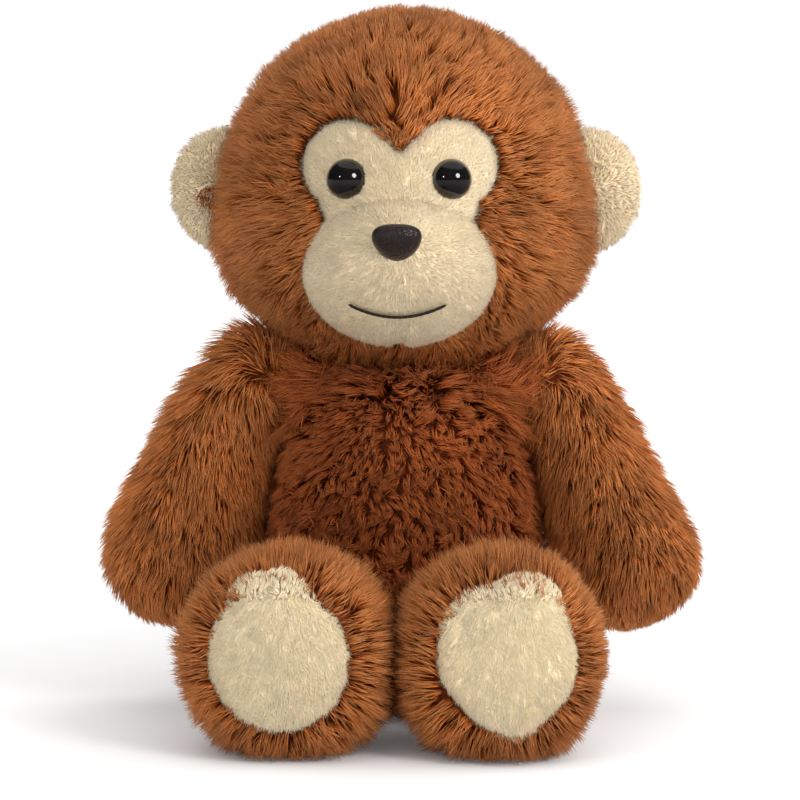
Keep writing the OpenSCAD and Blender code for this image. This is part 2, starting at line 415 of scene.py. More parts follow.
def strand_mesh(name, root, middle, tip, width, tone):
    """One mesh of closed strands, pointed at both ends. With no middle, each is a plain spike."""
    count = len(root)
    if middle is None:
        rows = [*ring(root, unit(tip - root), width), tip]
        faces = [(0, 1, 3), (1, 2, 3), (2, 0, 3), (2, 1, 0)]
        heights = [0.0, 0.0, 0.0, 1.0]
    else:
        rows = [root, *ring(middle, unit(tip - root), width), tip]
        faces = [(0, 2, 1), (0, 3, 2), (0, 1, 3), (1, 2, 4), (2, 3, 4), (3, 1, 4)]
        heights = [0.0, 0.45, 0.45, 0.45, 1.0]
    places = np.stack(rows, axis=1).reshape(-1, 3)
    places[:, 2] = np.maximum(places[:, 2], FLOOR_CLEARANCE)
    corners = (np.arange(count)[:, None, None] * len(rows) + np.array(faces)).reshape(-1, 3)
    mesh = bpy.data.meshes.new(name)
    mesh.vertices.add(len(places))
    mesh.vertices.foreach_set("co", places.ravel())
    mesh.loops.add(corners.size)
    mesh.loops.foreach_set("vertex_index", corners.ravel())
    mesh.polygons.add(len(corners))
    mesh.polygons.foreach_set("loop_start", np.arange(len(corners)) * 3)
    mesh.polygons.foreach_set("use_smooth", np.ones(len(corners), bool))
    mesh.update(calc_edges=True)
    for key, values in (("tip", np.tile(heights, count)), ("tone", np.repeat(tone, len(rows)))):
        mesh.attributes.new(key, "FLOAT", "POINT").data.foreach_set(
            "value", values.astype(np.float32)
        )
    return add_object(name, mesh)


def grow_coat(rng, names, look, skin, comb, pile, *, dense=1, thick=1, where=None, low=0.45,
              high=1.1, clump=16, ruffle=0.3, pull=0.4, fuzz=0.2):
    """Long fur over a skin, in one dressed piece for each name, front to back."""
    s = bpy.context.scene.monkey_coat
    point, normal = scatter(rng, skin, s.per_cm2 * dense, where)
    pile = np.broadcast_to(pile(point) if callable(pile) else pile, len(point))[:, None]
    comb = unit(flatten(comb(point, normal), normal))
    middle, tip, tone = lay_pile(
        rng, point, normal, comb, pile, low, high, clump, ruffle, pull, fuzz
    )
    root = point - normal * 0.5 * MM
    width = s.strand * thick * rng.uniform(0.75, 1.2, (len(point), 1))
    for name, chosen in zip(names, np.array_split(np.argsort(point[:, 1], kind="stable"), len(names))):
        strands = (values[chosen] for values in (root, middle, tip, width, tone))
        dress(strand_mesh(name, *strands), *look)


def grow_nap(rng, name, look, skin, comb, *, where, long=1, dense=1, lean=1.2, ruffle=0.12):
    """Short plush over a skin: plain dressed spikes that lean with the comb."""
    s = bpy.context.scene.monkey_face
    point, normal = scatter(rng, skin, s.nap_per_cm2 * dense, where)
    comb = unit(flatten(comb(point, normal), normal))
    seeds = rng.choice(len(point), max(1, len(point) // 40), replace=False)
    owner = nearest(point, point[seeds])
    stray = rng.normal(scale=ruffle, size=(len(seeds), 3))[owner]
    stray = stray + rng.normal(scale=0.13, size=point.shape)
    own = flatten(comb + stray, normal)
    along = unit(normal * math.cos(lean) + own * math.sin(lean))
    reach = s.nap * long * rng.uniform(0.7, 1.2, (len(point), 1))
    tone = rng.normal(size=len(seeds))[owner] * 0.1 + rng.normal(size=len(point)) * 0.2
    width = s.nap_strand * rng.uniform(0.8, 1.2, (len(point), 1))
    root, tip, tone = point - normal * 0.2 * MM, point + along * reach, np.clip(0.5 + tone, 0, 1)
    dress(strand_mesh(name, root, None, tip, width, tone), *look)


# ---- Materials ------------------------------------------------------------------------------


COLOUR, NUMBER = "NodeSocketColor", "NodeSocketFloat"
RELIEF = 0.3 * MM


def feed(tree, node, sockets):
    """Sets each named or numbered input to a value, or links it to an output."""
    for key, source in sockets.items():
        if isinstance(source, bpy.types.NodeSocket):
            tree.links.new(source, node.inputs[key])
        else:
            node.inputs[key].default_value = source


def add_node(tree, kind, sockets=None, **settings):
    node = tree.nodes.new(f"ShaderNode{kind}")
    for key, value in settings.items():
        setattr(node, key, value)
    feed(tree, node, sockets or {})
    return node


def calculated(tree, operation, *values):
    return add_node(tree, "Math", dict(enumerate(values)), operation=operation).outputs[0]


def mapped(tree, value, low, high, to_low=0, to_high=1):
    """A value moved from one range to another, and held inside it."""
    sockets = {"Value": value, "From Min": low, "From Max": high, "To Min": to_low,
               "To Max": to_high}
    return add_node(tree, "MapRange", sockets).outputs["Result"]


def mixed(tree, share, first, second):
    """A colour between two others."""
    return add_node(tree, "Mix", {0: share, 6: first, 7: second}, data_type="RGBA").outputs[2]


def ramped(tree, share, first, second, end=1):
    """A colour that runs from one to another, and is all the second from an end on."""
    ramp = add_node(tree, "ValToRGB", {"Fac": share})
    start, stop = ramp.color_ramp.elements
    start.color, stop.color, stop.position = (*first, 1), (*second, 1), end
    return ramp.outputs["Color"]


def pattern(tree, kind, scale, **sockets):
    """A texture that lies on the piece's own coordinates."""
    place = add_node(tree, "TexCoord").outputs["Object"]
    return add_node(tree, kind, {"Vector": place, "Scale": scale, **sockets}).outputs


def emboss(tree, shader, height, strength, invert=False):
    sockets = {"Height": height, "Strength": strength, "Distance": RELIEF}
    bump = add_node(tree, "Bump", sockets, invert=invert)
    feed(tree, shader, {"Normal": bump.outputs["Normal"]})


def shader_group(name, inputs, outputs, fill):
    """A node group, which is made and filled when it is first asked for."""
    group = bpy.data.node_groups.get(name)
    if group is None:
        group = bpy.data.node_groups.new(name, "ShaderNodeTree")
        for way, sockets in (("INPUT", inputs), ("OUTPUT", outputs)):
            for socket, kind in sockets.items():
                group.interface.new_socket(name=socket, in_out=way, socket_type=kind)
        given, out = group.nodes.new("NodeGroupInput"), group.nodes.new("NodeGroupOutput")
        feed(group, out, fill(group, given.outputs))
    return group


def pile_colour(tree, given):
    """Colour of a strand from how far along it is, darker at the root as painted shade and paler at the
    tip as painted highlight, and from its random tone among its neighbours.
    """
    along, tone = (
        add_node(tree, "Attribute", attribute_name=name).outputs["Fac"] for name in ("tip", "tone")
    )
    # Root to tip: painted shade deep in the pile, and painted highlight at the tips.
    lower = mixed(tree, mapped(tree, along, 0, 0.55), given["Root"], given["Middle"])
    colour = mixed(tree, mapped(tree, along, 0.5, 1), lower, given["Tip"])
    patches = pattern(tree, "TexNoise", 28, Detail=2)["Fac"]
    centred = calculated(tree, "SUBTRACT", calculated(tree, "ADD", tone, patches), 1)
    light = calculated(tree, "MULTIPLY_ADD", centred, given["Contrast"], 1)
    shade = add_node(tree, "VectorMath", {0: colour, "Scale": light}, operation="SCALE")
    return {"Colour": shade.outputs["Vector"]}


def knit(tree, given):
    """A knitted backing: two colours in fine noise, and the height of its stitches."""
    noise = pattern(tree, "TexNoise", given["Scale"], Detail=4)["Fac"]
    return {"Colour": mixed(tree, noise, given["Dark"], given["Light"]), "Height": noise}


def new_material(name, sockets):
    """A material with one Principled shader, whose even values are set on its own sockets."""
    material = bpy.data.materials.new(name)
    material.use_nodes = True
    shader = material.node_tree.nodes["Principled BSDF"]
    feed(material.node_tree, shader, sockets)
    return material, material.node_tree, shader


def grouped_material(name, sockets, group, values, bump=0):
    """A material that takes its colour, and its relief if it has one, from a node group."""
    material = bpy.data.materials.get(name)
    if material is None:
        material, tree, shader = new_material(name, sockets)
        effect = add_node(tree, "Group", node_tree=group)
        feed(tree, effect, values)
        feed(tree, shader, {"Base Color": effect.outputs["Colour"]})
        if bump:
            emboss(tree, shader, effect.outputs["Height"], bump)
    return material


def pile_material(name, shades, contrast, roughness=0.62, sheen=0.08):
    colours = {key: (*shade, 1) for key, shade in zip(("Root", "Middle", "Tip"), shades)}
    group = shader_group(
        "Pile colour", {**dict.fromkeys(colours, COLOUR), "Contrast": NUMBER}, {"Colour": COLOUR},
        pile_colour,
    )
    sockets = {"Roughness": roughness, "Specular IOR Level": 0.2, "Sheen Weight": sheen,
               "Sheen Roughness": 0.4, "Sheen Tint": colours["Tip"]}
    return grouped_material(name, sockets, group, {**colours, "Contrast": contrast})


def cloth_material(name, dark, light, scale=900, bump=0.25, roughness=0.85, sheen=0.2):
    group = shader_group(
        "Knitted backing", {"Dark": COLOUR, "Light": COLOUR, "Scale": NUMBER},
        {"Colour": COLOUR, "Height": NUMBER}, knit,
    )
    sockets = {"Roughness": roughness, "Sheen Weight": sheen, "Specular IOR Level": 0.25}
    values = {"Dark": (*dark, 1), "Light": (*light, 1), "Scale": scale}
    return grouped_material(name, sockets, group, values, bump)


def lighter(shades, light):
    return [tuple(min(1, part * light) for part in shade) for shade in shades]


def coat_material(name="Brown coat", light=1):
    s = bpy.context.scene.monkey_coat
    return pile_material(name, lighter((s.root, s.middle, s.tip), light), 0.95)


def torso_material():
    # Darker than the brown coat: partly its own plush, and partly painted shade under the head.
    s = bpy.context.scene.monkey_coat
    return pile_material("Torso coat", (s.torso_root, s.torso_middle, s.torso_tip), 0.85)


def nap_material(name="Beige nap", light=1):
    s = bpy.context.scene.monkey_face
    shades = lighter((s.nap_root, s.nap_middle, s.nap_tip), light)
    return pile_material(name, shades, 0.2, roughness=0.75, sheen=0.2)


def brown_backing():
    s = bpy.context.scene.monkey_coat
    # The backing under the fur takes the torso's root and middle colours; their darkness is partly
    # painted shade under the pile.
    return cloth_material("Brown backing", s.torso_root, s.torso_middle)


def beige_backing():
    s = bpy.context.scene.monkey_face
    return cloth_material("Beige backing", s.nap_middle, s.nap_tip, bump=0.15)


def dress(piece, material, body, slot, *nodes):
    """Gives a piece its material and its body, and hides the CAD parts that it stands for; the slot is
    not used.
    """
    piece.data.materials.clear()
    piece.data.materials.append(material)
    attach(piece, body)
    if nodes:
        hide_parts(*nodes)
    return piece


def sew(name, body, slot, cad_skin, filling, fill, **shape):
    """A stuffed skin in brown backing, which stands for a CAD skin and its filling."""
    skin = skin_from(filling, name, **shape)
    dress(skin, brown_backing(), body, slot, cad_skin, filling)
    return skin


# ---- Combs ----------------------------------------------------------------------------------


def away_from(middle, down=0.0):
    """A comb that runs away from a point, and sinks by a share."""
    def comb(point, normal):
        return unit(point - np.array(middle)) - UP * down
    return comb


def downwards(point, normal):
    """A comb that runs down and a little outwards."""
    return -UP + normal * [0.3, 0.3, 0]


# ---- Head -----------------------------------------------------------------------------------


HEAD_LOW, HEAD_HIGH, _ = node_box("head_shell")
MUZZLE_LOW, MUZZLE_HIGH, MUZZLE_MIDDLE = node_box("muzzle_shell")
MUZZLE_LOBE = (MUZZLE_HIGH[2] - MUZZLE_LOW[2]) / 2
BROW_HIGH = node_box("brow_mask")[1]
FACE_BACK = -30 * MM


def heart_outline(steps=40):
    """The brow mask's outline seen from the front: two lobes, a notch, and sides that run down."""
    eye_x = node_box("eye_right")[2][0]
    lobe_r = BROW_HIGH[0] - eye_x
    lobe_z = BROW_HIGH[2] - lobe_r
    right = [
        (eye_x + lobe_r * math.cos(t), lobe_z + lobe_r * math.sin(t))
        for t in np.linspace(math.radians(-50), math.radians(142), steps)
    ]
    left = [(-x, z) for x, z in reversed(right)]
    notch = [(0, lobe_z + 8 * MM)]
    side_x, low = eye_x + 4 * MM, MUZZLE_MIDDLE[2]
    return np.array(right + notch + left + [(-side_x, low), (side_x, low)])


def inside_depth(outline, x, z):
    """How far each point is inside an outline, less than 0 outside."""
    p = np.stack([x, z], axis=1)
    a, b = outline, np.roll(outline, -1, axis=0)
    edge = b - a
    t = ((p[:, None] - a) * edge).sum(axis=2) / (edge * edge).sum(axis=1)
    near = a + np.clip(t, 0, 1)[:, :, None] * edge
    distance = np.linalg.norm(p[:, None] - near, axis=2).min(axis=1)
    rise = np.where(edge[:, 1] == 0, 1e-9, edge[:, 1])
    level = (a[:, 1] > z[:, None]) != (b[:, 1] > z[:, None])
    crossing = level & (x[:, None] < a[:, 0] + (z[:, None] - a[:, 1]) / rise * edge[:, 0])
    return np.where(crossing.sum(axis=1) % 2 == 1, distance, -distance)


def face_depth(point):
    """How far a place on the head is inside the brow mask or the muzzle, less than 0 outside."""
    depth = inside_depth(heart_outline(), point[:, 0], point[:, 2])
    lobe_x = MUZZLE_HIGH[0] - MUZZLE_LOBE
    for sign in SIDES.values():
        off = np.hypot(point[:, 0] - sign * lobe_x, point[:, 2] - MUZZLE_MIDDLE[2])
        depth = np.maximum(depth, MUZZLE_LOBE - 2 * MM - off)
    return np.where(point[:, 1] < FACE_BACK, depth, -1)


def head_comb(point, normal):
    """Away from the bridge of the nose in front, and down the back of the head."""
    bridge = np.array([0, -60 * MM, 214 * MM])
    fan = unit(flatten(point - bridge, normal))
    back = smoothstep(0, 60 * MM, point[:, 1:2])
    chin = smoothstep(164 * MM, 150 * MM, point[:, 2:3])
    return fan * (1 - back) - UP * (back * 1.1 + 0.12) + [0, -0.35, -0.9] * chin * (1 - back)


class MONKEY_OT_head(Operator):
    """Builds the head's stuffed skin and grows its coat"""
    bl_idname = "monkey.head"
    bl_label = "Head"

    def execute(self, context):
        s = context.scene.monkey_coat
        skin = sew("head_skin", "head", "coat_plush", "head_shell", "head_stuffing", 0.8,
                   voxel=5 * MM)

        def where(point, normal):
            shown = (face_depth(point) < 3.2 * MM) & (point[:, 2] > HEAD_LOW[2] + 3 * MM)
            return shown * (1 - 0.45 * smoothstep(-5 * MM, 30 * MM, point[:, 1]))

        def pile(point):
            edge = smoothstep(-9 * MM, 0, face_depth(point))
            crown = smoothstep(HEAD_HIGH[2] - 45 * MM, HEAD_HIGH[2], point[:, 2])
            jowl = smoothstep(190 * MM, 165 * MM, point[:, 2])
            chin = smoothstep(160 * MM, 150 * MM, point[:, 2])
            chin = chin * smoothstep(20 * MM, -10 * MM, point[:, 1])
            return s.head_pile * (1 - 0.35 * edge - 0.42 * crown - 0.25 * jowl + 0.75 * chin)

        names = ["head_coat_front", "head_coat_middle", "head_coat_back"]
        grow_coat(
            seeded(11), names, (coat_material(), "head", "coat_plush"), skin, head_comb, pile,
            where=where, low=0.25, high=0.9, clump=13, pull=0.35,
        )
        return {"FINISHED"}


class MONKEY_OT_brow(Operator):
    """Builds the beige brow mask that lies round the eyes"""
    bl_idname = "monkey.brow"
    bl_label = "Brow mask"

    def execute(self, context):
        outline = heart_outline()
        low, high = outline.min(axis=0), outline.max(axis=0)
        deselect()
        bpy.ops.mesh.primitive_grid_add(x_subdivisions=76, y_subdivisions=58, size=1)
        mask = finish_primitive("brow_plush")
        wide, tall = (high - low) * 1.04
        across, upward, _ = vertices(mask).T
        x, z = across * wide, (low[1] + high[1]) / 2 + upward * tall
        depth = inside_depth(outline, x, z)
        lift = -3 * MM + 5 * MM * smoothstep(0, 7 * MM, depth)
        tree = surface_of(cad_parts["head_shell"])
        move_vertices(mask, np.array([on_front(tree, *at) for at in zip(x, z, lift)]))
        with opened(mask) as mesh:
            lost = [v for v in mesh.verts if depth[v.index] < -0.8 * MM]
            bmesh.ops.delete(mesh, geom=lost, context="VERTS")
        apply_modifier(mask, "SMOOTH", factor=0.5, iterations=3)

        def clear_of_muzzle(point, normal):
            off = point - np.array([0, 0, MUZZLE_MIDDLE[2]])
            return np.hypot(off[:, 0] / MUZZLE_HIGH[0], off[:, 2] / (28 * MM)) > 1

        grow_nap(
            seeded(12), "brow_nap", (nap_material(), "head", "face_plush"), mask,
            away_from((0, -70 * MM, 200 * MM)), where=clear_of_muzzle,
        )
        apply_modifier(mask, "SOLIDIFY", thickness=1.2 * MM, offset=-1)
        smooth(mask)
        dress(mask, beige_backing(), "head", "face_plush", "brow_mask")
        return {"FINISHED"}


class MONKEY_OT_muzzle(Operator):
    """Builds the stuffed muzzle with its two lobes and short plush"""
    bl_idname = "monkey.muzzle"
    bl_label = "Muzzle"

    def execute(self, context):
        muzzle = add_ball("muzzle_plush", 64, 48)
        x, y, z = vertices(muzzle).T
        tall = np.where(z > 0, MUZZLE_LOBE * 1.2, MUZZLE_LOBE * 1.03)
        deep = MUZZLE_LOBE * (1 - 0.10 * smoothstep(0.0, 0.9, np.abs(z)))
        move_vertices(muzzle, np.stack([
            x * MUZZLE_HIGH[0], MUZZLE_LOW[1] + MUZZLE_LOBE + y * deep,
            MUZZLE_MIDDLE[2] + z * tall,
        ], axis=1))
        apply_modifier(muzzle, "REMESH", mode="VOXEL", voxel_size=2.5 * MM)
        apply_modifier(muzzle, "SMOOTH", factor=0.5, iterations=2)
        grow(muzzle, -0.8 * MM)
        stuff(muzzle, 3, 1.5 * MM)
        places = vertices(muzzle)
        seam = np.exp(-((places[:, 0] / (2.2 * MM)) ** 2))
        below = smoothstep(MUZZLE_MIDDLE[2] - 14 * MM, MUZZLE_LOW[2], places[:, 2])
        grow(muzzle, -2.2 * MM * seam * below)
        apply_modifier(muzzle, "SUBSURF", levels=1, render_levels=1)
        smooth(muzzle)
        nose = node_box("nose")[2]

        def where(point, normal):
            under_nose = np.hypot(point[:, 0], point[:, 2] - nose[2]) < 6 * MM
            return (point[:, 1] < -50 * MM) & ~under_nose

        grow_nap(
            seeded(13), "muzzle_nap", (nap_material(), "head", "face_plush"), muzzle,
            away_from(nose), where=where,
        )
        dress(muzzle, beige_backing(), "head", "face_plush", "muzzle_shell", "muzzle_stuffing")
        return {"FINISHED"}


class MONKEY_OT_eyes(Operator):
    """Builds the two polished domed eyes"""
    bl_idname = "monkey.eyes"
    bl_label = "Eyes"

    def execute(self, context):
        s = context.scene.monkey_face
        material, tree, shader = new_material("Polished eye", {
            "Roughness": 0.05, "Specular IOR Level": 0.5, "Coat Weight": 0.6,
            "Coat Roughness": 0.03,
        })
        noise = pattern(tree, "TexNoise", 220)["Fac"]
        lit = [part * 2.2 for part in s.eye]
        feed(tree, shader, {"Base Color": ramped(tree, noise, s.eye, lit)})
        for side in SIDES:
            low, high, middle = node_box(f"eye_{side}")
            radius = (high[2] - low[2]) / 2 + 1.1 * MM
            centre = (middle[0], low[1] + radius - 1.2 * MM, middle[2])
            eye = add_ball(f"eye_dome_{side}", 64, 40, LYING, centre, radius)
            smooth(eye)
            dress(eye, material, "head", "eye_gloss", f"eye_{side}")
        return {"FINISHED"}


class MONKEY_OT_nose(Operator):
    """Builds the grained nose, broad at the top and narrow below"""
    bl_idname = "monkey.nose"
    bl_label = "Nose"

    def execute(self, context):
        s = context.scene.monkey_face
        low, high, middle = node_box("nose")
        half = (high - low) / 2
        nose = add_ball("nose_button", 72, 48)
        x, y, z = vertices(nose).T
        power = np.where(z > 0, 2.6, 1.75)
        round_it = np.hypot(x, z) / np.maximum(
            (np.abs(x) ** power + np.abs(z) ** power) ** (1 / power), 1e-9
        )
        shaped = np.stack([
            x * round_it, y * 0.65, z * round_it * np.where(z > 0, 0.68, 1.32)
        ], axis=1)
        shaped = shaped * np.array([half[0], 7.0 * MM, half[2] * 1.1])
        tilt = math.radians(24)
        c, d = math.cos(tilt), math.sin(tilt)
        turned = shaped @ np.array([[1, 0, 0], [0, c, d], [0, -d, c]])
        move_vertices(nose, turned + [0, low[1] + 1.4 * MM, middle[2] + 3 * MM])
        smooth(nose)
        material, tree, shader = new_material(
            "Grained nose", {"Roughness": 0.32, "Specular IOR Level": 0.5}
        )
        grain = pattern(tree, "TexVoronoi", 1100)["Distance"]
        lit = [part * 2.4 for part in s.nose]
        feed(tree, shader, {"Base Color": ramped(tree, grain, lit, s.nose, 0.6)})
        emboss(tree, shader, grain, 0.8, invert=True)
        dress(nose, material, "head", "nose_grain", "nose")
        return {"FINISHED"}


class MONKEY_OT_smile(Operator):
    """Sews the smile: a dark thread that follows the muzzle"""
    bl_idname = "monkey.smile"
    bl_label = "Smile"

    def execute(self, context):
        s = context.scene.monkey_face
        low, high, _ = node_box("mouth_stitch")
        half, drop = (high[0] - low[0]) / 2, (high[2] - low[2]) - 2 * MM
        tree = surface_of(bpy.data.objects["muzzle_plush"])
        count, sides, thread = 150, 8, 0.6 * MM
        turns = np.linspace(-1, 1, count)
        line = high[2] - 1 * MM - drop * (1 - turns**2)
        path = np.array([on_front(tree, t * half, z, 1.9 * MM) for t, z in zip(turns, line)])
        for _ in range(6):
            path[1:-1] = (path[:-2] + path[2:]) / 2 * 0.5 + path[1:-1] * 0.5
        along = unit(np.gradient(path, axis=0))
        side = unit(np.cross(along, UP))
        over = np.cross(side, along)
        pinch = np.abs(np.sin(turns * math.pi * 9)) ** 0.35
        ends = np.minimum(1, (1 - np.abs(turns)) * 14) ** 0.5
        radius = thread * (0.72 + 0.28 * pinch) * np.maximum(ends, 0.02)
        smile = add_object("smile_thread", bpy.data.meshes.new("smile_thread"))
        with opened(smile) as mesh:
            rings = [
                [
                    mesh.verts.new(path[n] + (side[n] * math.cos(a) + over[n] * math.sin(a)) * radius[n])
                    for a in np.linspace(0, 2 * math.pi, sides, endpoint=False)
                ]
                for n in range(count)
            ]
            for first, second in zip(rings[:-1], rings[1:]):
                for k in range(sides):
                    mesh.faces.new((first[k - 1], second[k - 1], second[k], first[k]))
            mesh.faces.new(rings[0])
            mesh.faces.new(rings[-1][::-1])
            bmesh.ops.recalc_face_normals(mesh, faces=mesh.faces)
        smooth(smile)
        material = cloth_material(
            "Smile thread", s.thread, [part * 2 for part in s.thread], 2500, 0.4, 0.7, sheen=0
        )
        dress(smile, material, "head", "stitch_thread", "mouth_stitch")
        return {"FINISHED"}


# ---- Ears -----------------------------------------------------------------------------------


class MONKEY_OT_ears(Operator):
    """Builds the padded ears, with short plush in front and brown fur behind"""
    bl_idname = "monkey.ears"
    bl_label = "Ears"

    def execute(self, context):
        s = context.scene.monkey_coat
        for side, sign in SIDES.items():
            body = f"ear_{side}"
            low, high, (_, _, middle_z) = node_box(f"ear_front_{side}")
            root = low[0] if sign > 0 else high[0]
            wide, tall = high[0] - low[0], (high[2] - low[2]) / 2
            ear = add_ball(f"ear_{side}", 64, 40, LYING)
            x, y, z = vertices(ear).T
            rim = np.hypot(x, z)
            puff = 5.2 * MM * np.sign(y) * np.abs(y) ** 0.75
            cup = np.where(y < 0, 3.4 * MM * (1 - smoothstep(0.0, 0.85, rim)), 0)
            inner = np.where(x < 0, 0.35, 1.0)
            across = root - sign * 1.0 * MM + sign * x * inner * (wide - 2.6 * MM)
            move_vertices(ear, np.stack([across, puff + cup, middle_z + z * tall], axis=1))
            face_outwards(ear)
            stuff(ear, 2, 0.8 * MM)
            smooth(ear)
            centre = (root, 0, middle_z)
            patch = np.array([root + sign * 4 * MM, 0, middle_z - 2 * MM])

            def in_patch(point):
                off = (point - patch) / np.array([6.5 * MM, 1, 4.5 * MM])
                return (np.hypot(off[:, 0], off[:, 2]) < 1) & (sign < 0)

            def front(point, normal):
                return (normal[:, 1] < 0.55) & ~((normal[:, 1] < 0) & in_patch(point))

            def behind(point, normal):
                return (normal[:, 1] > 0.45) | ((normal[:, 1] < -0.3) & in_patch(point))

            grow_nap(
                seeded(20 + sign), f"ear_nap_{side}", (nap_material(), body, "ear_plush"), ear,
                away_from(centre), long=1.15, dense=0.8, where=front, lean=0.95,
            )
            behind_skin = add_object(f"ear_behind_{side}", ear.data.copy())
            grow(behind_skin, 0.5 * MM)
            places = vertices(behind_skin)
            move_vertices(behind_skin, np.maximum(places, [-np.inf, 0.3 * MM, -np.inf]))
            dress(behind_skin, brown_backing(), body, "coat_plush")
            grow_coat(
                seeded(24 + sign), [f"ear_coat_{side}"], (coat_material(), body, "coat_plush"), ear,
                away_from(centre, 0.5), s.ear_pile, dense=1.6, thick=0.8, where=behind,
            )
            dress(ear, beige_backing(), body, "ear_plush", f"ear_front_{side}", f"ear_back_{side}")
        return {"FINISHED"}


# ---- Torso, neck and tail -------------------------------------------------------------------


class MONKEY_OT_torso(Operator):
    """Builds the torso's stuffed skin and its wavier coat, whose darker colours are partly painted shade
    """
    bl_idname = "monkey.torso"
    bl_label = "Torso"

    def execute(self, context):
        s = context.scene.monkey_coat
        skin = sew("torso_skin", "torso", "torso_plush", "torso_shell", "torso_stuffing", 0.75,
                   voxel=5 * MM)

        def comb(point, normal):
            top = smoothstep(112 * MM, 136 * MM, point[:, 2:3])
            beside = top * smoothstep(24 * MM, 38 * MM, np.abs(point[:, 0:1]))
            outwards = np.sign(point[:, 0:1]) * [0.5, 0, 0] + UP * 0.8
            return normal * [0.5, 0.5, 0] - UP * (1 - 0.75 * top) + outwards * beside

        def pile(point):
            top = smoothstep(118 * MM, 134 * MM, point[:, 2])
            beside = smoothstep(24 * MM, 36 * MM, np.abs(point[:, 0]))
            return s.torso_pile * (0.85 + top * (0.6 + 0.7 * beside))

        def where(point, normal):
            shown = (normal[:, 2] > -0.75) | (point[:, 2] > 14 * MM)
            return shown * (1 - 0.45 * smoothstep(0, 30 * MM, point[:, 1]))

        look = torso_material(), "torso", "torso_plush"
        names = ["torso_coat_front", "torso_coat_middle", "torso_coat_back"]
        grow_coat(
            seeded(31), names, look, skin, comb, pile, dense=1.15, where=where, low=0.25,
            high=0.9, clump=9, ruffle=0.6, pull=0.75,
        )

        def beside_neck(point, normal):
            out = np.abs(point[:, 0])
            return (point[:, 2] > 114 * MM) & (out > 26 * MM) & (np.abs(point[:, 1]) < 22 * MM)

        grow_coat(
            seeded(34), ["torso_ruff"], look, skin, comb, s.torso_pile * 2.1, dense=0.9,
            where=beside_neck, low=0.25, high=0.9, ruffle=0.9, fuzz=0.4, pull=0.3,
        )
        return {"FINISHED"}


class MONKEY_OT_neck(Operator):
    """Builds the soft neck that shows when the head turns or nods"""
    bl_idname = "monkey.neck"
    bl_label = "Neck"

    def execute(self, context):
        skin = sew("neck_skin", "neck", "torso_plush", "neck_tube", "neck_stuffing", 0.8,
                   voxel=3 * MM, outwards=0.8 * MM)

        def where(point, normal):
            return np.abs(normal[:, 2]) < 0.6

        grow_coat(
            seeded(36), ["neck_coat"], (torso_material(), "neck", "torso_plush"), skin, downwards,
            7 * MM, dense=0.6, where=where,
        )
        return {"FINISHED"}


class MONKEY_OT_tail(Operator):
    """Builds the tail that lies curled behind the seat"""
    bl_idname = "monkey.tail"
    bl_label = "Tail"

    def execute(self, context):
        s = context.scene.monkey_coat
        skin = sew("tail_skin", "tail", "coat_plush", "tail_shell", "tail_stuffing", 0.7,
                   voxel=2.5 * MM, outwards=1.2 * MM)
        middle = node_box("tail_shell")[2]

        def comb(point, normal):
            around = point - np.array([middle[0], middle[1], 0])
            return np.stack([around[:, 1], -around[:, 0], np.zeros(len(point))], axis=1)

        grow_coat(
            seeded(38), ["tail_coat"], (coat_material(), "tail", "coat_plush"), skin, comb,
            s.tail_pile, low=0.5, high=1.2, clump=20,
        )
        return {"FINISHED"}


# ---- Limbs ----------------------------------------------------------------------------------


class MONKEY_OT_arms(Operator):
    """Builds the two arms, combed down to the paws"""
    bl_idname = "monkey.arms"
    bl_label = "Arms"

    def execute(self, context):
        s = context.scene.monkey_coat
        for side, sign in SIDES.items():
            skin = sew(f"arm_skin_{side}", f"arm_{side}", "coat_plush", f"arm_shell_{side}",
                       f"arm_stuffing_{side}", 0.7, voxel=4 * MM)
            _, (_, _, top), (arm_x, _, _) = node_box(f"arm_shell_{side}")
            height = vertices(skin)[:, 2]
            outer = vertices(skin, "normal")[:, 0] * sign
            bulge = 5.5 * MM if side == "left" else 0.5 * MM
            upper_arm = smoothstep(50 * MM, 90 * MM, height) * smoothstep(top, top - 50 * MM, height)
            grow(skin, (0.8 + 2.2 * smoothstep(80 * MM, top - 25 * MM, height)) * MM
                 + bulge * smoothstep(0, 1, outer) * upper_arm)

            def pile(point):
                shoulder = smoothstep(top - 45 * MM, top - 15 * MM, point[:, 2])
                low_down = smoothstep(62 * MM, 36 * MM, point[:, 2])
                slim = 0.2 * smoothstep(0, 30 * MM, point[:, 0] - arm_x) * (side == "right")
                ruff = 0.3 if side == "left" else 0.05
                return s.arm_pile * (1 + ruff * shoulder - 0.45 * low_down - slim)

            def comb(point, normal):
                shoulder = smoothstep(top - 30 * MM, top, point[:, 2:3])
                outer = smoothstep(-0.35, 0.3, normal[:, 0:1] * sign)
                outwards = np.array([0.7 * sign, 0, 0])
                lean = outwards * outer + np.array([0.12 * sign, 0, 0.8]) * (1 - outer)
                return normal * [0.35, 0.35, 0] - UP * (1 - shoulder) + lean * shoulder

            # The arms wear a lighter copy of the brown coat: painted light.
            grow_coat(
                seeded(41 + sign), [f"arm_coat_{side}_front", f"arm_coat_{side}_back"],
                (coat_material("Arm coat", ARM_PAINTED_LIGHT), f"arm_{side}", "coat_plush"), skin, comb,
                pile, low=0.35, high=1.06, clump=12, ruffle=0.18, pull=0.3, fuzz=0.14,
            )
        return {"FINISHED"}


def sole_way(side):
    """The middle of a sole, and the direction that it faces."""
    sole = node_box(f"foot_pad_{side}")[2]
    return sole, unit(sole - node_box(f"foot_pellets_{side}")[2])


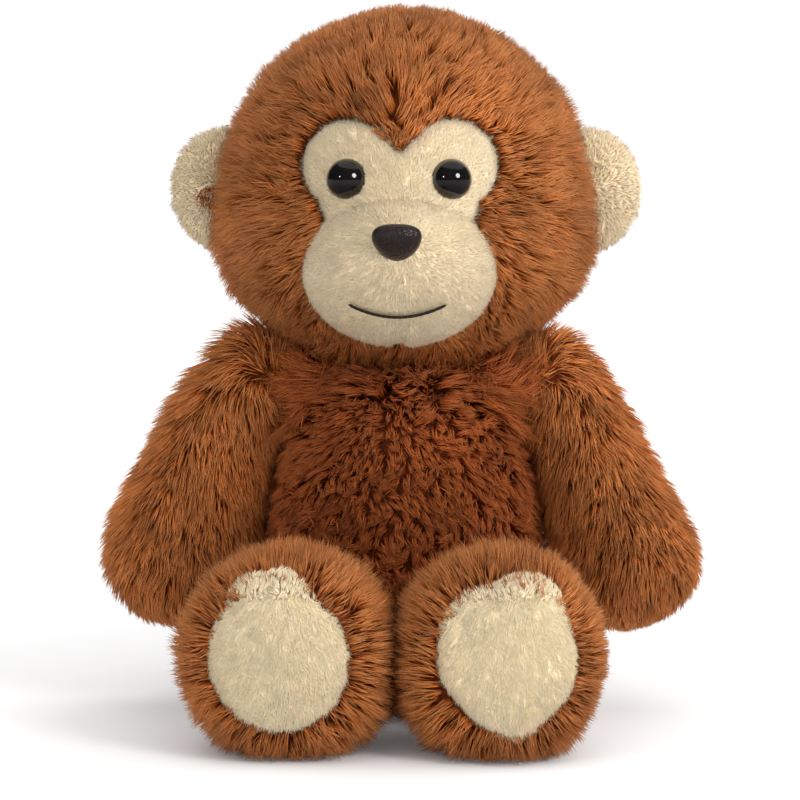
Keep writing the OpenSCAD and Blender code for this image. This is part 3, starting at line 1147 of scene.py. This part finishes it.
class MONKEY_OT_legs(Operator):
    """Builds the two legs, whose fur fans out round the soles"""
    bl_idname = "monkey.legs"
    bl_label = "Legs"

    def execute(self, context):
        s = context.scene.monkey_coat
        for side, sign in SIDES.items():
            skin = sew(f"leg_skin_{side}", f"leg_{side}", "coat_plush", f"leg_shell_{side}",
                       f"leg_stuffing_{side}", 0.8, voxel=4 * MM)
            sole, facing = sole_way(side)

            def comb(point, normal):
                off = point - sole
                return unit(off - facing * (off @ facing)[:, None]) - facing * 0.35

            def where(point, normal):
                off = point - sole
                across = np.linalg.norm(off - facing * (off @ facing)[:, None], axis=1)
                on_sole = (normal @ facing > 0.75) & (across < 24.5 * MM)
                shown = ~on_sole & ((normal[:, 2] > -0.9) | (point[:, 2] > 6 * MM))
                return shown * (1 - 0.35 * smoothstep(0.2, -0.4, normal @ facing))

            def pile(point):
                slim = 0.34 * smoothstep(10 * MM, 32 * MM, point[:, 0] - sole[0])
                return s.foot_pile * (1 - slim * (side == "right"))

            grow_coat(
                seeded(51 + sign), [f"leg_coat_{side}_front", f"leg_coat_{side}_back"],
                (coat_material(), f"leg_{side}", "coat_plush"), skin, comb, pile, where=where,
                low=0.05, high=0.68, clump=12, ruffle=0.26, pull=0.35,
            )
        return {"FINISHED"}


def bump(angle, middle, width):
    """1 at one angle, in degrees, and falling away to 0 on both sides of it."""
    off = (angle - middle + 180) % 360 - 180
    return np.exp(-((off / width) ** 2))


def round_outline(angle):
    """A round pad, gathered at its top into a short neck that leans outwards."""
    top = 0.20 * bump(angle, 24, 24) + 0.16 * bump(angle, -4, 14)
    return 0.97 + top + 0.03 * bump(angle, 70, 25)


def egg_outline(angle):
    """A pad with a broad slanting top and a narrower bottom."""
    top = 0.25 * bump(angle, -24, 28) + 0.12 * bump(angle, 46, 22)
    return 0.96 + top + 0.12 * bump(angle, 188, 18) - 0.10 * bump(angle, 130, 28)


OUTLINES = {"left": round_outline, "right": egg_outline}
FRINGE_PILE, FRINGE_STRAND, FRINGE_PER_CM2 = 4.2 * MM, 0.46 * MM, 640


class MONKEY_OT_soles(Operator):
    """Builds the beige sole pads, with a longer fringe along the top"""
    bl_idname = "monkey.soles"
    bl_label = "Soles"

    def execute(self, context):
        s = context.scene.monkey_coat
        for side, sign in SIDES.items():
            body = f"leg_{side}"
            low, high, middle = node_box(f"foot_pad_{side}")
            half = (high[2] - low[2]) / 2
            facing = sole_way(side)[1]
            across = unit(np.cross(facing, UP))
            upward = np.cross(across, facing)
            pad = add_ball(f"sole_pad_{side}", 72, 40)
            x, z, y = vertices(pad).T
            rim = np.hypot(x, z)
            angle = np.degrees(np.arctan2(x, z))
            outline = OUTLINES[side](angle)
            wide, tall = x * outline * half, z * outline * half * 1.01
            gather = (bump(angle, 46, 9) + bump(angle, -20, 9)) * smoothstep(0.45, 0.95, rim)
            ripples = np.cos(np.radians(angle * 14)) * smoothstep(0.5, 0.95, rim)
            ripples = ripples * bump(angle, 0, 50)
            crown = 1 + 0.2 * (1 - rim**2)
            puff = (6.2 * crown - 2.2 * gather + 0.5 * ripples) * MM
            puff = puff * np.sign(y) * np.abs(y) ** 0.75 - 1.0 * MM
            shaped = middle + sum(
                way * reach[:, None] for way, reach in ((across, wide), (upward, tall), (facing, puff))
            )
            move_vertices(pad, shaped)
            face_outwards(pad)
            stuff(pad, 3, 1.2 * MM)
            smooth(pad)

            def outer(point, normal):
                return (normal @ facing > 0.1) * 1.0

            def fringe(point, normal):
                off = point - middle
                high_up = smoothstep(half * 0.78, half * 0.98, off @ upward)
                return high_up * (normal @ facing > 0.15)

            rng = seeded(61 + sign)
            # The pads wear a lighter copy of the beige nap: painted light.
            grow_nap(
                rng, f"sole_nap_{side}", (nap_material("Sole nap", SOLE_PAINTED_LIGHT), body, "sole_plush"),
                pad, away_from(middle + upward * half * 1.4), where=outer,
            )
            grow_coat(
                rng, [f"sole_fringe_{side}"], (nap_material(), body, "sole_plush"), pad,
                away_from(middle - upward * half * 0.6), FRINGE_PILE,
                dense=FRINGE_PER_CM2 / s.per_cm2, thick=FRINGE_STRAND / s.strand, where=fringe,
                low=0.5, high=1.15, clump=9, pull=0.5, ruffle=0.5,
            )
            dress(pad, beige_backing(), body, "sole_plush", f"foot_pad_{side}")
        return {"FINISHED"}


# ---- Inside, and the stage ------------------------------------------------------------------


class MONKEY_OT_inside(Operator):
    """Gives the pellets and washers inside the toy their finish"""
    bl_idname = "monkey.inside"
    bl_label = "Inside"

    def execute(self, context):
        pellets = cloth_material("Pellets", (0.45, 0.47, 0.5), (0.8, 0.82, 0.84), 350, 1.0, 0.4)
        plastic = cloth_material("Washer plastic", (0.6, 0.6, 0.6), (0.7, 0.7, 0.7), 60, 0.05, 0.35)
        for word, material in (("pellets", pellets), ("washer", plastic)):
            for name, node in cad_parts.items():
                for slot in node.material_slots if word in name else ():
                    slot.material = material
        return {"FINISHED"}


class MONKEY_OT_stage(Operator):
    """Sets the pale floor, the soft lights and the camera"""
    bl_idname = "monkey.stage"
    bl_label = "Stage"

    def execute(self, context):
        s = context.scene.monkey_stage
        deselect()
        bpy.ops.mesh.primitive_plane_add(size=40, location=(0, 0, 0))
        floor = finish_primitive("floor")
        material, tree, shader = new_material(
            "Pale floor", {"Roughness": 0.9, "Emission Color": (1, 1, 1, 1)}
        )
        # The floor glows as painted light: weakly near the toy so that its shadow shows, and more
        # strongly further out so that the far floor reads white.
        place = add_node(tree, "TexCoord").outputs["Object"]
        reach = add_node(tree, "VectorMath", {0: place}, operation="LENGTH").outputs["Value"]
        # To glossy rays the floor shows nearly black: painted darkness in its reflections.
        mirrored = add_node(tree, "LightPath").outputs["Is Glossy Ray"]
        feed(tree, shader, {
            "Emission Strength": mapped(tree, reach, 0.2, 0.9, 0.06, 0.3),
            "Base Color": mixed(tree, mirrored, (*s.floor, 1), (0.03, 0.03, 0.03, 1)),
        })
        floor.data.materials.append(material)
        world = context.scene.world or bpy.data.worlds.new("Studio")
        context.scene.world = world
        world.use_nodes = True
        tree = world.node_tree
        way = add_node(tree, "TexCoord").outputs["Generated"]
        parts = add_node(tree, "SeparateXYZ", {"Vector": way}).outputs
        beside = mapped(tree, parts["X"], -0.95, -0.15, 0.47, 1.06)
        ray = add_node(tree, "LightPath").outputs
        mirrored = calculated(tree, "MULTIPLY_ADD", ray["Is Glossy Ray"], -0.95, 1)
        light = calculated(tree, "MULTIPLY", beside, mirrored)
        shown = calculated(tree, "MAXIMUM", light, ray["Is Camera Ray"])
        feed(tree, tree.nodes["Background"], {"Color": (1, 1, 1, 1), "Strength": shown})
        face = Vector((0, -80 * MM, 200 * MM))
        for name, way, distance, size, power in (
            ("Key", (0.66, -0.69, 0.42), 1.5, 0.6, 11),
            ("Fill", (-0.63, -0.71, 0.30), 1.5, 0.15, 1.3),
            ("Top", (0.1, 0.25, 0.95), 1.6, 2.6, 7),
        ):
            lamp = bpy.data.lights.new(name, "AREA")
            lamp.shape = "DISK"
            lamp.energy, lamp.size = power, size
            light = add_object(name, lamp)
            light.location = face + Vector(way).normalized() * distance
            light.rotation_euler = Vector(way).to_track_quat("Z", "Y").to_euler()
        lens = bpy.data.cameras.new("Camera")
        lens.lens = lens.sensor_width * s.distance / s.field
        camera = add_object("Camera", lens)
        back = Vector((
            math.sin(s.turn) * math.cos(s.elevation),
            -math.cos(s.turn) * math.cos(s.elevation),
            math.sin(s.elevation),
        ))
        camera.location = Vector((s.aside, 0, s.aim)) + back * s.distance
        camera.rotation_euler = (-back).to_track_quat("-Z", "Y").to_euler()
        context.scene.camera = camera
        context.scene.view_settings.view_transform = "Standard"
        return {"FINISHED"}


class MONKEY_PT_panel(Panel):
    """Lists the pieces of the monkey"""
    bl_idname = "MONKEY_PT_panel"
    bl_label = "Plush monkey"
    bl_space_type = "VIEW_3D"
    bl_region_type = "UI"
    bl_category = "Monkey"

    def draw(self, context):
        for name, cls in SETTINGS.items():
            for key in cls.__annotations__:
                self.layout.prop(getattr(context.scene, name), key)
        for operator in OPERATORS:
            self.layout.operator(operator.bl_idname)


OPERATORS = (
    MONKEY_OT_torso, MONKEY_OT_neck, MONKEY_OT_head, MONKEY_OT_brow, MONKEY_OT_muzzle,
    MONKEY_OT_eyes, MONKEY_OT_nose, MONKEY_OT_smile, MONKEY_OT_ears, MONKEY_OT_arms,
    MONKEY_OT_legs, MONKEY_OT_soles, MONKEY_OT_tail, MONKEY_OT_inside, MONKEY_OT_stage,
)
SETTINGS = {
    "monkey_coat": CoatSettings, "monkey_face": FaceSettings, "monkey_stage": StageSettings,
}


def register():
    for cls in (*SETTINGS.values(), *OPERATORS, MONKEY_PT_panel):
        bpy.utils.register_class(cls)
    for name, cls in SETTINGS.items():
        setattr(bpy.types.Scene, name, PointerProperty(type=cls))


def unregister():
    for name in SETTINGS:
        delattr(bpy.types.Scene, name)
    for cls in reversed((*SETTINGS.values(), *OPERATORS, MONKEY_PT_panel)):
        bpy.utils.unregister_class(cls)


def main():
    register()
    for operator in OPERATORS:
        group, name = operator.bl_idname.split(".")
        getattr(getattr(bpy.ops, group), name)()


if __name__ == "__main__":
    main()
